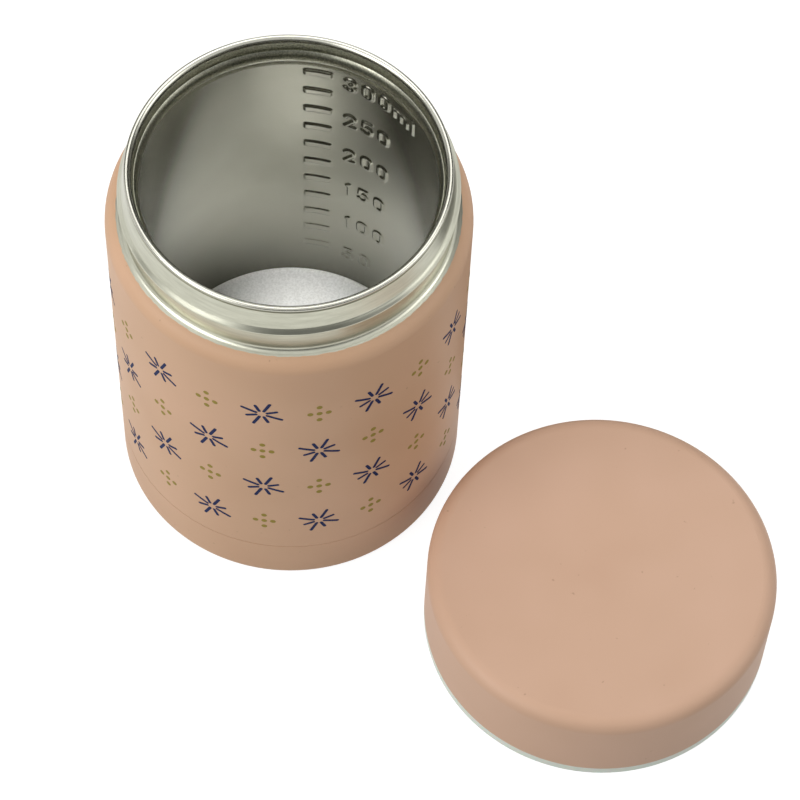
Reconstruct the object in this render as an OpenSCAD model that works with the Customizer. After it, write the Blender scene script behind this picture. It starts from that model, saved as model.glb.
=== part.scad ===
// Insulated food jar: a double-walled steel vacuum vessel, open, with its screw lid standing beside it.
// Millimetres, +Z up. The origin is the centre of the jar's foot, and the lid stands on the same plane.
// Every piece is a revolved sheet-metal or moulded section, drawn as a half section with its axis at x = 0.

/* [Jar body] */
// Outside diameter of the jar
body_d = 82; // [80:0.5:90]
// Height of the shoulder's crown, which the lid closes on
shoulder_z = 99.7; // [70:0.1:160]
// Rounding of the shoulder's outer edge
shoulder_round = 4.1; // [3:0.1:4.1]
// Sheet thickness of the painted shell, its base cup and the neck collar
shell_t = 0.5; // [0.4:0.05:0.7]
// Height of the seam between the shell and the base cup
seam_z = 14.4; // [12:0.2:15]
// Open line left at that seam
seam_gap = 0.2; // [0.1:0.05:0.4]
// How far the shell's joggled end reaches down inside the base cup
spigot_h = 6; // [5.5:0.5:8]

/* [Foot] */
// How much narrower the foot is than the body, on the radius
foot_taper = 0; // [0:0.1:1]
// Rounding of the foot's outer edge
foot_round = 2.3; // [1.5:0.1:3]
// Width of the flat ring that the jar stands on
foot_ring_w = 2; // [1:0.2:4]
// Depth of the recess inside that ring
foot_recess = 1.2; // [0.6:0.1:2]

/* [Neck and mouth] */
// Height of the neck above the shoulder's crown
neck_h = 15.1; // [12:0.1:20]
// How much wider the neck is at its root than under the lip, on the radius
neck_taper = 0.9; // [0:0.1:1.2]
// Height over which the neck widens, from the lip down
taper_h = 5.2; // [3:0.1:9]
// Rounding where the neck's root meets the shoulder
neck_fillet = 1.4; // [0.6:0.1:1.6]
// How far the bare collar reaches outside the neck's root before the paint starts
collar_w = 1.55; // [1.2:0.05:2.2]
// Thickness of the rolled lip, from the mouth to the neck's outside
lip_w = 1.7; // [1.5:0.05:1.9]
// Depth of the sealing ledge below the lip's crest
ledge_depth = 3.4; // [3:0.1:5]
// How far the ledge narrows the mouth
ledge_w = 1.3; // [1.2:0.05:1.6]
// Width of the ledge's crowned face, inside its flat step
crown_w = 0.85; // [0.6:0.05:1]
// Height of that crowned face, down to the narrowest ring
crown_h = 2.5; // [1.5:0.1:3.5]
// Radius of the edge that turns from the narrowest ring back to the cavity wall
ledge_round = 0.7; // [0.6:0.05:0.9]
// How far the cavity wall is relieved behind that edge
wall_relief = 0.4; // [0.1:0.05:0.5]

/* [Inner vessel] */
// Sheet thickness of the inner vessel
vessel_t = 0.5; // [0.4:0.05:0.6]
// Vacuum gap between the inner vessel and the outer shell
vacuum_gap = 6.6; // [6.2:0.1:8]
// Rounding between the cavity's wall and floor
floor_round = 1; // [0.8:0.1:5]
// Thickness of the copper foil wrapped round the vessel
foil_t = 0.2; // [0.1:0.05:0.3]
// How far the foil's upper edge stays below the ledge
foil_margin = 2; // [0.5:0.5:20]

/* [Vacuum base] */
// Height of the underside of the plate that closes the vacuum
plate_z = 10; // [9.5:0.1:11]
// Clear height between that plate and the inner vessel
floor_gap = 8.7; // [6:0.1:14]
// Radius of the dimple that holds the sealing bead
dimple_r = 6; // [5:0.5:9]
// Depth of that dimple
dimple_h = 1.6; // [1.2:0.1:2.4]
// Radius of the evacuation hole under the bead
evac_r = 1; // [0.5:0.1:1.5]
// Radius of the sealing bead
bead_r = 3; // [2:0.25:4]
// Thickness of the sealing bead
bead_h = 0.9; // [0.5:0.1:1.1]
// Radius of the getter pill
getter_r = 4; // [3:0.5:5]
// Height of the getter pill
getter_h = 2.4; // [1.5:0.1:3]
// Distance of the getter pill from the jar's axis
getter_offset = 18; // [14:0.5:26]

/* [Lid] */
// How far the lid's lower edge stands out past the body
lid_overhang = 0.15; // [0:0.05:1]
// How much narrower the lid is at its top, on the radius
lid_taper = 0.1; // [0:0.1:0.6]
// Rounding of the lid's top edge
lid_round = 3.5; // [2:0.1:4.5]
// Sheet thickness of the lid's painted cap
cap_t = 0.6; // [0.4:0.1:0.8]
// Height of the liner's rim that shows under the cap
rim_h = 2.4; // [1:0.1:3]
// Gap between the closed lid's rim and the shoulder's crown
seat_gap = 0.4; // [0.2:0.1:1]
// Gap between the closed lid's ceiling and the lip's crest
crest_gap = 0.6; // [0.4:0.1:1.5]
// Thickness of the liner's ceiling
ceiling_t = 1.4; // [1:0.1:2]
// Thickness of the liner's skirt
skirt_t = 1.6; // [1.2:0.1:1.8]
// Height of the neck's rolled thread, which the skirt leaves room for
thread_h = 0.9; // [0.7:0.1:1]
// Running clearance outside that thread
thread_clear = 0.4; // [0.3:0.05:0.5]
// Thickness of the insulating disc in the lid's top
foam_t = 7.6; // [2:0.1:10]
// Number of ribs that centre the liner in the cap
rib_count = 12; // [8:1:20]
// Width of each centring rib
rib_w = 1.2; // [0.8:0.1:2]
// Clearance between those ribs and the cap
rib_clear = 0.1; // [0.05:0.05:0.2]

/* [Lid seal] */
// Radial clearance of the seal plate inside the ledge
plug_clear = 0.5; // [0.3:0.05:0.8]
// Radial clearance of the plate's upper flange inside the mouth
flange_clear = 0.3; // [0.2:0.05:0.5]
// How far the plate reaches below the ledge when the lid is closed
plug_drop = 1.6; // [1:0.1:3]
// Wall thickness of the seal plate
plug_t = 1.2; // [1:0.1:1.6]
// Height of the groove that holds the seal ring
groove_h = 2.6; // [2:0.1:3]
// Depth of that groove behind the lower flange
groove_d = 1.4; // [1:0.1:2]
// Height at which the ring's groove starts above the ledge, lid closed
groove_lift = 0.2; // [0.1:0.05:0.4]
// How far the free seal ring's lip stands out past the mouth's wall
lip_squeeze = 0.4; // [0.2:0.05:0.6]
// Radius of the snap ring that holds the plate to the liner
snap_r = 15; // [10:0.5:24]
// Clearance between the two snap walls
snap_clear = 0.1; // [0.05:0.05:0.2]

/* [Where the lid stands] */
// Gap between the jar's body and the lid standing beside it
lid_gap = 7.5; // [3:0.5:80]
// Bearing of the lid from the jar, anticlockwise from +X
lid_bearing = -32.25; // [-180:0.25:180]

/* [Hidden] */
$fn = 144;
over = 1;                                         // how far a cut runs past what it cuts

body_r = body_d / 2;
cavity_r = body_r - shell_t - vacuum_gap - vessel_t;
ledge_r = cavity_r - wall_relief;                 // narrowest radius of the mouth
mouth_r = ledge_r + ledge_w;
neck_r = mouth_r + lip_w;
root_r = neck_r + neck_taper;
shell_edge_r = root_r + collar_w;                 // where the painted shell meets the neck collar
lip_z = shoulder_z + neck_h;
ledge_z = lip_z - ledge_depth;
lip_round = lip_w / 2;
lip_mid_z = lip_z - lip_round;
lip_seat_z = lip_mid_z - lip_round / 2;           // the lip rests on the collar here
arc_r = body_r - shoulder_round;                  // centre of the shoulder's arc
arc_z = shoulder_z - shoulder_round;
fillet_r = root_r + neck_fillet;                  // centre of the fillet, which is tangent to that arc
fillet_z = arc_z + sqrt(pow(shoulder_round + neck_fillet, 2) - pow(max(0, fillet_r - arc_r), 2));
fillet_end_r = fillet_r < arc_r ? fillet_r
    : arc_r + (fillet_r - arc_r) * shoulder_round / (shoulder_round + neck_fillet);
crown_z = ledge_z - crown_h;                      // height of the narrowest ring
crown_r = (crown_w * crown_w + crown_h * crown_h) / (2 * crown_w);   // arc from that ring up to the step

vessel_bottom_z = plate_z + shell_t + floor_gap;
floor_z = vessel_bottom_z + vessel_t;
spigot_r = body_r - shell_t;                      // outside of the joggle, inside of the base cup
spigot_end_z = seam_z - spigot_h;
plate_r = spigot_r - shell_t;
foot_r = body_r - foot_taper;
foil_top_z = crown_z - ledge_round - foil_margin;

lid_r = body_r + lid_overhang;
lid_top_r = lid_r - lid_taper;
closed_ledge = ledge_z - shoulder_z - seat_gap;   // the ledge's height above the closed lid's rim
ceiling_z = neck_h - seat_gap + crest_gap;        // underside of the liner's ceiling
foam_z = ceiling_z + ceiling_t;
lid_h = foam_z + foam_t + cap_t;
bore_r = root_r + thread_h + thread_clear;
skirt_r = bore_r + skirt_t;
rib_r = lid_top_r - cap_t - rib_clear;
foam_r = lid_top_r - lid_round;
plug_z = closed_ledge - plug_drop;
plug_r = ledge_r - plug_clear;
flange_r = mouth_r - flange_clear;
groove_z = closed_ledge + groove_lift;
groove_r = plug_r - groove_d;
lid_distance = body_r + lid_gap + lid_r;
lid_x = lid_distance * cos(lid_bearing);
lid_y = lid_distance * sin(lid_bearing);

// ---------------------------------------------------------------- section helpers

// Half section of a solid that narrows from r_low at the ground to r_high, with a rounded top edge.
module round_top(r_low, r_high, h, round) {
    polygon([[0, 0], [r_low, 0], [r_high, h - round], [0, h - round]]);
    square([r_high - round, h]);
    translate([r_high - round, h - round]) circle(round);
}

// The same with the rounded edge below and its wide end at height h.
module round_bottom(r_low, r_high, h, round) {
    translate([0, h]) mirror([0, 1]) round_top(r_high, r_low, h, round);
}

// Half section of a ring between two radii and two heights.
module band(r_in, r_out, z_low, z_high) {
    translate([r_in, z_low]) square([r_out - r_in, z_high - z_low]);
}

// Turns a half section into a solid; whatever crosses the axis is cut off first.
module turned() {
    rotate_extrude() intersection() {
        children();
        translate([0, -500]) square([500, 1000]);
    }
}

// Puts a piece drawn in the lid's own frame where the lid stands.
module at_lid() {
    translate([lid_x, lid_y, 0]) children();
}

// ---------------------------------------------------------------- jar

// The painted shell: a tube with a rounded shoulder above and a spigot, joggled inwards, below.
module outer_shell() {
    joggle_top_z = seam_z + 2 * shell_t;
    color("#c39b7b") turned() difference() {
        union() {
            difference() {
                round_top(body_r, body_r, shoulder_z, shoulder_round);
                band(0, body_r + over, -over, seam_z);
            }
            band(0, spigot_r, spigot_end_z, joggle_top_z);
        }
        difference() {
            round_top(spigot_r, spigot_r, shoulder_z - shell_t, shoulder_round - shell_t);
            band(0, body_r, -over, joggle_top_z);
        }
        polygon([
            [0, spigot_end_z - over], [plate_r, spigot_end_z - over], [plate_r, seam_z],
            [spigot_r, joggle_top_z], [0, joggle_top_z]
        ]);
        band(0, shell_edge_r, arc_z, shoulder_z + over);
    }
}

// The bare steel collar: the crown of the shoulder, a fillet and the tapered neck that the lid screws onto.
module neck_collar() {
    taper_z = lip_seat_z - taper_h;
    color("#c4c4ba") turned() {
        difference() {
            union() {
                intersection() {
                    round_top(body_r, body_r, shoulder_z, shoulder_round);
                    band(root_r - shell_t, shell_edge_r, arc_z, shoulder_z + over);
                }
                difference() {
                    band(root_r, fillet_end_r, arc_z, fillet_z);
                    translate([fillet_r, fillet_z]) circle(neck_fillet);
                }
            }
            round_top(spigot_r, spigot_r, shoulder_z - shell_t, shoulder_round - shell_t);
        }
        polygon([
            [root_r - shell_t, shoulder_z - shell_t], [root_r, shoulder_z - shell_t], [root_r, taper_z],
            [neck_r, lip_seat_z], [neck_r - shell_t, lip_seat_z], [root_r - shell_t, taper_z]
        ]);
    }
}

// The inner vessel: rolled lip, mouth wall, sealing ledge, cavity wall and floor in one sheet.
module inner_vessel() {
    color("#a3a296") turned() {
        // lip, flat underneath where it rests on the collar
        intersection() {
            translate([mouth_r + lip_round, lip_mid_z]) circle(lip_round);
            band(0, body_r, lip_seat_z, lip_z + over);
        }
        band(mouth_r, mouth_r + vessel_t, ledge_z - vessel_t, lip_mid_z);
        ledge_section();
        // cavity
        difference() {
            translate([0, vessel_bottom_z])
                round_bottom(cavity_r + vessel_t, cavity_r + vessel_t, crown_z - vessel_bottom_z,
                             floor_round + vessel_t);
            translate([0, floor_z])
                round_bottom(cavity_r, cavity_r, crown_z - floor_z + over, floor_round);
        }
    }
}

// The sealing ledge: a flat step, a crowned face one sheet thick, and the edge that turns back to the wall.
module ledge_section() {
    band(ledge_r + crown_w, mouth_r + vessel_t, ledge_z - vessel_t, ledge_z);
    intersection() {
        translate([ledge_r + crown_r, crown_z]) difference() {
            circle(crown_r);
            circle(crown_r - vessel_t);
        }
        band(0, mouth_r + vessel_t, crown_z, ledge_z);
    }
    translate([ledge_r + ledge_round, crown_z]) circle(ledge_round);
}

// Copper foil that keeps heat from crossing the vacuum, wrapped round the vessel's wall and floor.
module heat_shield() {
    out_r = cavity_r + vessel_t;
    color("#b87349") turned() difference() {
        translate([0, vessel_bottom_z - foil_t])
            round_bottom(out_r + foil_t, out_r + foil_t, foil_top_z - vessel_bottom_z + foil_t,
                         floor_round + vessel_t + foil_t);
        translate([0, vessel_bottom_z])
            round_bottom(out_r, out_r, foil_top_z - vessel_bottom_z + over, floor_round + vessel_t);
    }
}

// The plate welded into the shell's end: a flange, a flat plate and a dimple with the evacuation hole.
module vacuum_base() {
    color("#b4b4ae") turned() {
        band(plate_r - shell_t, plate_r, spigot_end_z, plate_z + shell_t);
        band(dimple_r, plate_r, plate_z, plate_z + shell_t);
        band(dimple_r - shell_t, dimple_r, plate_z, plate_z + dimple_h + shell_t);
        band(evac_r, dimple_r, plate_z + dimple_h, plate_z + dimple_h + shell_t);
    }
}

// Solder-glass bead that closes the evacuation hole from below.
module sealing_bead() {
    color("#4c5a52") translate([0, 0, plate_z + dimple_h - bead_h]) cylinder(r = bead_r, h = bead_h);
}

// The getter pill that soaks up the last gas, on the vacuum side of the plate.
module getter() {
    color("#6e6a66") translate([getter_offset, 0, plate_z + shell_t]) cylinder(r = getter_r, h = getter_h);
}

// The painted cup that covers the vacuum base and is the jar's foot.
module base_cup() {
    ring_in = foot_r - foot_round - foot_ring_w;
    color("#c39b7b") turned() difference() {
        round_bottom(foot_r, body_r, seam_z - seam_gap, foot_round);
        difference() {
            translate([0, shell_t])
                round_bottom(foot_r - shell_t, spigot_r, seam_z - seam_gap - shell_t, foot_round - shell_t);
            recess_section(ring_in + shell_t / 2, foot_recess + shell_t);
        }
        band(0, spigot_r, spigot_end_z - over, seam_z);
        recess_section(ring_in, foot_recess);
    }
}

// The recess inside the standing ring, with a sloped edge.
module recess_section(r, h) {
    polygon([[0, -over], [r + over, -over], [r - h, h], [0, h]]);
}

// ---------------------------------------------------------------- lid, in its own frame, rim at z = 0

// The painted cap.
module lid_cap() {
    color("#bd9677") at_lid() turned() difference() {
        round_top(lid_r, lid_top_r, lid_h, lid_round);
        round_top(lid_r - cap_t, lid_top_r - cap_t, lid_h - cap_t, lid_round - cap_t);
        band(0, lid_r + over, -over, rim_h);
    }
}

// The moulded liner: the rim that shows, the skirt, the ceiling, its snap ring and its centring ribs.
module lid_liner() {
    color("#dfe3d8") at_lid() {
        turned() {
            band(bore_r, lid_r, 0, rim_h);
            band(bore_r, skirt_r, 0, foam_z);
            band(0, skirt_r, ceiling_z, foam_z);
            band(snap_r, snap_r + plug_t, plug_z + 2 * plug_t, ceiling_z);
        }
        for (i = [0 : rib_count - 1]) rotate([0, 0, i * 360 / rib_count]) centring_rib();
    }
}

// One rib between the skirt and the cap; its outer end follows the cap's wall.
module centring_rib() {
    intersection() {
        translate([skirt_r - skirt_t / 2, -rib_w / 2, rim_h / 2]) cube([lid_r, rib_w, ceiling_z - rim_h]);
        cylinder(r = rib_r, h = lid_h);
    }
}

// Foam disc between the liner's ceiling and the cap.
module lid_insulation() {
    color("#e9e6dd") at_lid() translate([0, 0, foam_z]) cylinder(r = foam_r, h = foam_t);
}

// The plate that plugs the mouth and carries the seal ring; it snaps onto the liner's ceiling.
module seal_plate() {
    color("#e4e6df") at_lid() turned() {
        band(0, plug_r, plug_z, plug_z + plug_t);
        band(groove_r - plug_t, plug_r, plug_z, groove_z);
        band(groove_r - plug_t, groove_r, plug_z, ceiling_z);
        band(groove_r - plug_t, flange_r, groove_z + groove_h, ceiling_z);
        band(snap_r - snap_clear - plug_t, snap_r - snap_clear, plug_z, ceiling_z - plug_t);
    }
}

// Silicone ring in the plate's groove, with the lip that seals on the mouth's wall.
module seal_ring() {
    body_out_r = plug_r + groove_d / 2;
    lip_out_r = mouth_r + lip_squeeze;
    color("#f0efe9") at_lid() turned() {
        band(groove_r, body_out_r, groove_z, groove_z + groove_h);
        polygon([
            [body_out_r, groove_z + 0.35 * groove_h], [lip_out_r, groove_z],
            [lip_out_r, groove_z + 0.12 * groove_h], [body_out_r, groove_z + 0.7 * groove_h]
        ]);
    }
}

outer_shell();
neck_collar();
inner_vessel();
heat_shield();
vacuum_base();
sealing_bead();
getter();
base_cup();
lid_cap();
lid_liner();
lid_insulation();
seal_plate();
seal_ring();
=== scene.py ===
# %% [markdown]
# # An insulated food jar and its screw lid
#
# The jar is a double-walled steel vessel: a coated shell outside, a blasted steel cavity inside and a
# bare steel neck between them. Its lid is a coated cap over a moulded liner. The solids come from the
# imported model, in metres, with the jar's axis at x = y = 0 and the table at z = 0.
#
# This script gives every piece its finish. It also makes what is too fine for the solids: the rolled
# thread of the neck and of the lid's liner, the volume scale pressed into the cavity, and the print.

import bmesh
import bpy
import numpy as np
from math import cos, sin, pi, radians
from mathutils import Matrix, Vector


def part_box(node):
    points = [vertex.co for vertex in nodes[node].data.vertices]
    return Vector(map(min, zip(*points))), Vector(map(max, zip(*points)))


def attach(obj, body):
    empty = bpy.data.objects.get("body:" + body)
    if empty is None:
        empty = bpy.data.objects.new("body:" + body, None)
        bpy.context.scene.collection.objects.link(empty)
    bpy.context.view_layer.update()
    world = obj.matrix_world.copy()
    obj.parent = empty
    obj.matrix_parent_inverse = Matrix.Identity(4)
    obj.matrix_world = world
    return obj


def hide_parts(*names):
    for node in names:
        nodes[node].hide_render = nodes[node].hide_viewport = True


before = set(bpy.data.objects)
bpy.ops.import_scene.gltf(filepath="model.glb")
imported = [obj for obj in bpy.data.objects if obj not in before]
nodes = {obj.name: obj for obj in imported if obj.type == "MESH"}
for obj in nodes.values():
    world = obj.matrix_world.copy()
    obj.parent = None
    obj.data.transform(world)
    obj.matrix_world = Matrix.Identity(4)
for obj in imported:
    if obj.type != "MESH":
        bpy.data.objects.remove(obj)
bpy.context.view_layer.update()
MM = 0.001
print("nodes:", ", ".join(sorted(nodes)))

# %% [markdown]
# ## Sizes
#
# What the solids already fix is read from their boxes: radii from the widths, heights from the tops.
# The rest are sheet-metal sizes, in millimetres, that the pieces made here have to meet.

# %% Sizes of the neck, the cavity and the lid, in millimetres
_, collar_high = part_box("neck_collar")
vessel_low, vessel_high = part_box("inner_vessel")
_, shell_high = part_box("outer_shell")
liner_low, liner_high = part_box("lid_liner")

BODY_R = shell_high.x / MM                          # 41
COLLAR_R = collar_high.x / MM                       # 38.45, where the coated shell begins
NECK_R = vessel_high.x / MM                         # 36, outside of the lip and of the neck's upper end
ROOT_R = NECK_R + 0.9                               # the neck widens to this below a short taper
LIP_Z = vessel_high.z / MM
COLLAR_TOP_Z = collar_high.z / MM
SHEET = 0.5                                         # thickness of the steel
SHOULDER_Z = LIP_Z - 15.1                           # crown of the shoulder
SHOULDER_ROUND = 4.1                                # radius of the shoulder's edge
NECK_FILLET = 1.4                                   # radius of the hollow where the neck leaves the shoulder
TAPER_H = 5.2                                       # height of the taper
LIP_ROUND = 0.85                                    # half the lip's width
LIP_EDGE, LIP_DROP = 0.6, 1.35                      # the roll's outer edge, and how far its inside falls
MOUTH_R = NECK_R - 2 * LIP_ROUND
LEDGE_Z = LIP_Z - 3.4                               # the flat step that a seal sits on
CROWN_W, CROWN_H = 0.85, 2.5                        # the crowned face inside that step
LEDGE_R = MOUTH_R - 1.3                             # the narrowest ring of the mouth
LEDGE_ROUND = 0.7
CAVITY_R = LEDGE_R + 0.4                            # the wall stands back a little from that ring
FLOOR_Z = vessel_low.z / MM + SHEET
FLOOR_ROUND = 1.0
LID_X, LID_Y = (liner_low.x + liner_high.x) / 2, (liner_low.y + liner_high.y) / 2     # the lid's axis
THREAD_HEIGHT = 0.9
LINER_BORE_R = ROOT_R + THREAD_HEIGHT + 0.4         # clear of the neck's thread
SAME_R = 0.01                                       # radii nearer to each other than this are one
print(f"cavity radius {CAVITY_R:.1f}, floor {FLOOR_Z:.1f}, lip {LIP_Z:.1f} mm")

# %% [markdown]
# ## Turned meshes
#
# Nearly every piece here is spun or turned, so it is a profile swept round an axis. A mesh made in code
# beats a Screw or Spin modifier when the surface also carries relief: each point of the grid is known
# by its angle and its height, so a thread or a pressed mark is one more term in its radius.

# %% A grid of points turned round an axis
MEETING = 1e-7                        # points nearer to each other than this, in metres, are joined


def arc(r, z, radius, start, end, count):
    """Points on a quarter or so of a circle in the (r, z) plane; angles in degrees from outwards."""
    return [(r + radius * cos(radians(a)), z + radius * sin(radians(a)))
            for a in np.linspace(start, end, count)]


def smooth(part, full=1.0):
    """A smooth step that climbs from 0 to its full height as part goes from 0 to 1."""
    return full * part * part * (3 - 2 * part)


def new_piece(name, points, faces):
    """Puts a mesh object into the scene; its points are in metres."""
    mesh = bpy.data.meshes.new(name)
    mesh.from_pydata(points, [], faces)
    piece = bpy.data.objects.new(name, mesh)
    bpy.context.scene.collection.objects.link(piece)
    return piece


def weld(piece, sharp=50):
    """Joins points that meet and smooths every edge but corners sharper than an angle in degrees."""
    form = bmesh.new()
    form.from_mesh(piece.data)
    bmesh.ops.remove_doubles(form, verts=form.verts, dist=MEETING)
    bmesh.ops.recalc_face_normals(form, faces=form.faces)
    form.to_mesh(piece.data)
    form.free()
    piece.data.shade_smooth()
    piece.data.set_sharp_from_angle(angle=radians(sharp))


def turned(name, profile, angles, relief, loop=False):
    """Turns a profile of (r, z) points in millimetres; relief(angle, z, r) is added to the radius."""
    profile = np.array(profile, float)
    rows, columns = len(profile), len(angles)
    radius = np.repeat(profile[:, :1], columns, 1)
    height = np.repeat(profile[:, 1:], columns, 1)
    turn = np.repeat(np.array(angles)[None, :], rows, 0)
    radius = radius + relief(turn, height, radius)
    points = np.stack([radius * np.sin(turn) * MM, -radius * np.cos(turn) * MM, height * MM], -1)
    last = rows if loop else rows - 1
    i, j = np.meshgrid(np.arange(last), np.arange(columns), indexing="ij")
    below, above = i * columns, (i + 1) % rows * columns
    nxt = (j + 1) % columns
    quads = np.stack([below + j, below + nxt, above + nxt, above + j], -1).reshape(-1, 4)
    piece = new_piece(name, points.reshape(-1, 3).tolist(), quads.tolist())
    piece.data.validate()
    weld(piece)
    return piece


print("turning helpers ready")

# %% [markdown]
# ## Finishes
#
# Colours are written as sRGB hex values and turned to linear light once, in `colour`. `add` puts a node
# into a material with its settings, its input values and its links.

# %% Material helpers
def colour(hex_value):
    """Linear RGBA from an sRGB hex colour."""
    srgb = [int(hex_value[i:i + 2], 16) / 255 for i in (1, 3, 5)]
    return tuple(c / 12.92 if c <= 0.04045 else ((c + 0.055) / 1.055) ** 2.4 for c in srgb) + (1.0,)


def add(tree, kind, settings=None, values=None, links=None):
    """Adds one node: settings are its properties, values its inputs, links what feeds them."""
    made = tree.nodes.new(kind)
    for key, value in (settings or {}).items():
        setattr(made, key, value)
    for key, value in (values or {}).items():
        made.inputs[key].default_value = value
    for key, source in (links or {}).items():
        tree.links.new(source, made.inputs[key])
    return made


def new_material(name):
    """An empty material with its output node."""
    material = bpy.data.materials.new(name)
    material.use_nodes = True
    tree = material.node_tree
    tree.nodes.clear()
    return material, tree, add(tree, "ShaderNodeOutputMaterial")


def dress(piece, *materials):
    """Gives a piece these materials and no others."""
    piece.data.materials.clear()
    for material in materials:
        piece.data.materials.append(material)


print("colour of mid grey:", [round(c, 3) for c in colour("#808080")])

# %% [markdown]
# ### Powder coat
#
# The shell, the base cup and the lid's cap are steel with a baked powder coat: polyester powder that
# melts and levels into a matte film. It levels only so far, so it keeps a faint orange peel about a
# millimetre across and a finer grain on top. Both are bump from noise in object space, which needs no
# UVs. The film is a dielectric, so its IOR stays at 1.5. Its roughness makes it matte, and a specular
# level under the usual 0.5 dulls it a little more.

# %% Powder coat
ORANGE_PEEL_MM, PEEL_HEIGHT_MM = 0.9, 0.03
GRAIN_MM, GRAIN_HEIGHT_MM = 0.28, 0.02
DRIFT_MM = 1000 / 28                  # about 36
DRIFT_DARK, DRIFT_LIGHT = 0.32, 0.68  # values of the drift where the film is darkest and lightest
SPECK_MM, SPECK_COLOUR = 1.6, "#8c6a52"
SPECK_FROM, SPECK_FULL = 0.765, 0.82  # only the highest peaks of the noise are specks
SPECK_COVER = 0.35


def coat_colour(tree, place, light, base, dark):
    """Slow drift of the film's colour, a few centimetres across, with tiny darker specks."""
    drift = add(tree, "ShaderNodeTexNoise",
                values={"Scale": 1 / (DRIFT_MM * MM), "Detail": 2.0, "Roughness": 0.5},
                links={"Vector": place})
    ramp = add(tree, "ShaderNodeValToRGB", links={"Fac": drift.outputs["Fac"]})
    ramp.color_ramp.elements[0].position = DRIFT_DARK
    ramp.color_ramp.elements[1].position = DRIFT_LIGHT
    ramp.color_ramp.elements[0].color = colour(dark)
    ramp.color_ramp.elements[1].color = colour(light)
    middle = ramp.color_ramp.elements.new(0.5)
    middle.color = colour(base)
    specks = add(tree, "ShaderNodeTexNoise", values={"Scale": 1 / (SPECK_MM * MM), "Detail": 1.0},
                 links={"Vector": place})
    few = add(tree, "ShaderNodeMapRange",
              values={"From Min": SPECK_FROM, "From Max": SPECK_FULL, "To Max": SPECK_COVER},
              links={"Value": specks.outputs["Fac"]})
    speckled = add(tree, "ShaderNodeMix", {"data_type": "RGBA"}, {"B": colour(SPECK_COLOUR)},
                   {"Factor": few.outputs[0], "A": ramp.outputs["Color"]})
    return speckled.outputs["Result"]


def coat_bump(tree, place):
    """The surface's tilt from the orange peel and, on top of it, the grain."""
    peel = add(tree, "ShaderNodeTexNoise", values={"Scale": 1 / (ORANGE_PEEL_MM * MM), "Detail": 1.0},
               links={"Vector": place})
    low = add(tree, "ShaderNodeBump", values={"Strength": 0.35, "Distance": PEEL_HEIGHT_MM * MM},
              links={"Height": peel.outputs["Fac"]})
    grain = add(tree, "ShaderNodeTexNoise", values={"Scale": 1 / (GRAIN_MM * MM), "Detail": 2.0},
                links={"Vector": place})
    return add(tree, "ShaderNodeBump", values={"Strength": 0.5, "Distance": GRAIN_HEIGHT_MM * MM},
               links={"Height": grain.outputs["Fac"], "Normal": low.outputs["Normal"]}).outputs["Normal"]


def powder_coat(name, light, base, dark):
    """The coat in one colour, with the light and the dark that it drifts between."""
    material, tree, out = new_material(name)
    place = add(tree, "ShaderNodeTexCoord").outputs["Object"]
    shader = add(tree, "ShaderNodeBsdfPrincipled",
                 values={"Roughness": 0.52, "IOR": 1.5, "Specular IOR Level": 0.35},
                 links={"Base Color": coat_colour(tree, place, light, base, dark),
                        "Normal": coat_bump(tree, place)})
    tree.links.new(shader.outputs["BSDF"], out.inputs["Surface"])
    return material


jar_coat = powder_coat("powder_coat_jar", "#d4ac8d", "#d0a989", "#cca484")
lid_coat = powder_coat("powder_coat_lid", "#cfaa91", "#cba68c", "#c7a187")
for name in ("outer_shell", "base_cup"):
    dress(nodes[name], jar_coat)
dress(nodes["lid_cap"], lid_coat)
print("coated: outer_shell, base_cup, lid_cap")

# %% [markdown]
# ### Bare steel
#
# The neck and the lip are turned and left bare. Turning leaves fine rings round the axis, so the noise is
# read from the radius and the height and hardly from the angle: the brushed look. The cavity is bead
# blasted: tiny dents with no direction scatter the light, and its tint drifts in clouds; towards its floor
# the tint darkens, as painted shade. A pressed sheet is grainy: its tint follows its dents. A metal keeps
# the default IOR, because its colour and not its IOR sets how it reflects. The cavity's floor is steel
# too, but it is drawn as hardly metallic, so that it looks as bright at the bottom of the cavity as a
# blasted floor does.

# %% Turned steel and blasted steel
TURNING_MM = 0.35
BLAST_MM = 0.45                       # real blasting is finer; drawn coarser, so that it shows
WEAR_MM = 0.9                         # steps of the worn tint on turned steel
CLOUD_MM = 1000 / 90                  # about 11
MARK_SHARE, WEAR_SHARE = 0.0012, 0.004    # shares of the angle, for the turned marks and for their wear
UNEVEN = 0.15                         # share by which the roughness rises and falls
PAINTED_SHADE_FROM_MM, PAINTED_SHADE_FULL_MM = 58, 12   # painted shade: the darkening begins at this height and is full at that one, lower down


def around_axis(tree, place, share):
    """The place as (radius, height, a share of the angle): the smaller the share, the longer the marks."""
    split = add(tree, "ShaderNodeSeparateXYZ", links={"Vector": place})
    flat = add(tree, "ShaderNodeCombineXYZ", links={"X": split.outputs["X"], "Y": split.outputs["Y"]})
    length = add(tree, "ShaderNodeVectorMath", {"operation": "LENGTH"}, links={0: flat.outputs[0]})
    angle = add(tree, "ShaderNodeMath", {"operation": "ARCTAN2"},
                links={0: split.outputs["Y"], 1: split.outputs["X"]})
    slow = add(tree, "ShaderNodeMath", {"operation": "MULTIPLY"}, {1: share}, {0: angle.outputs[0]})
    return add(tree, "ShaderNodeCombineXYZ", links={"X": length.outputs["Value"], "Y": split.outputs["Z"],
                                                    "Z": slow.outputs[0]}).outputs[0]


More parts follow.
